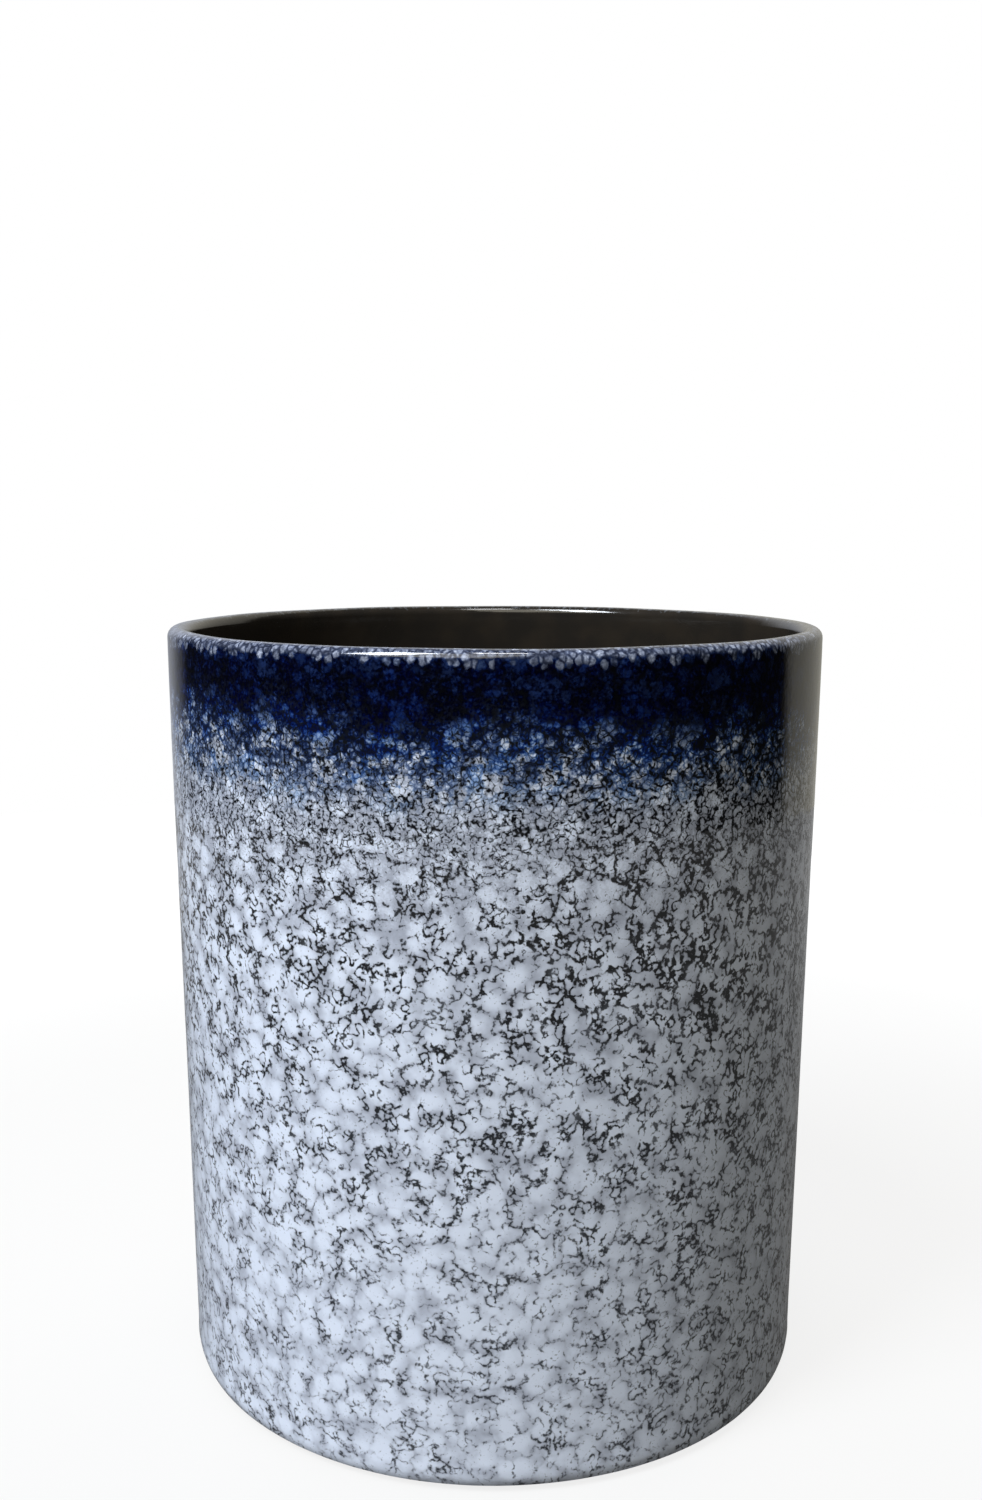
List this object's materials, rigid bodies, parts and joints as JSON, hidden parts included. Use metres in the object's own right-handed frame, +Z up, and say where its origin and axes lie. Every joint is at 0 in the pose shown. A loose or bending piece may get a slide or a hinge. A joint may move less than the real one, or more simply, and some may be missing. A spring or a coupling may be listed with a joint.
{
  "type": "utensil crock",
  "caption": "Straight-sided round stoneware crock with an open top and a reactive glaze, for standing kitchen utensils in.",
  "frame": {"origin": "centre of the foot ring's resting face, on the crock's axis", "axes": "+Z up along the crock's axis, out of its mouth; the crock is round, so +X and +Y are any two level directions"},
  "size_m": [0.1533, 0.1532, 0.18],
  "materials": {
    "stoneware": "bare fired stoneware, sponged smooth, warm buff",
    "pale_glaze": "glossy reactive glaze, pale blue-white broken by fine black flecks and rings",
    "cobalt_glaze": "glossy cobalt glaze with floating blue spots, thinning into the pale glaze below",
    "liner_glaze": "glossy near-black brown glaze, under a mottled grey edge on the crest of the rim",
    "recess_glaze": "glossy pale glaze with fine dark flecks"
  },
  "bodies": {
    "root": {"stoneware_body": "stoneware", "outer_glaze": "pale_glaze", "cobalt_band_glaze": "cobalt_glaze", "liner_glaze": "liner_glaze", "foot_recess_glaze": "recess_glaze"}
  },
  "joints": []
}
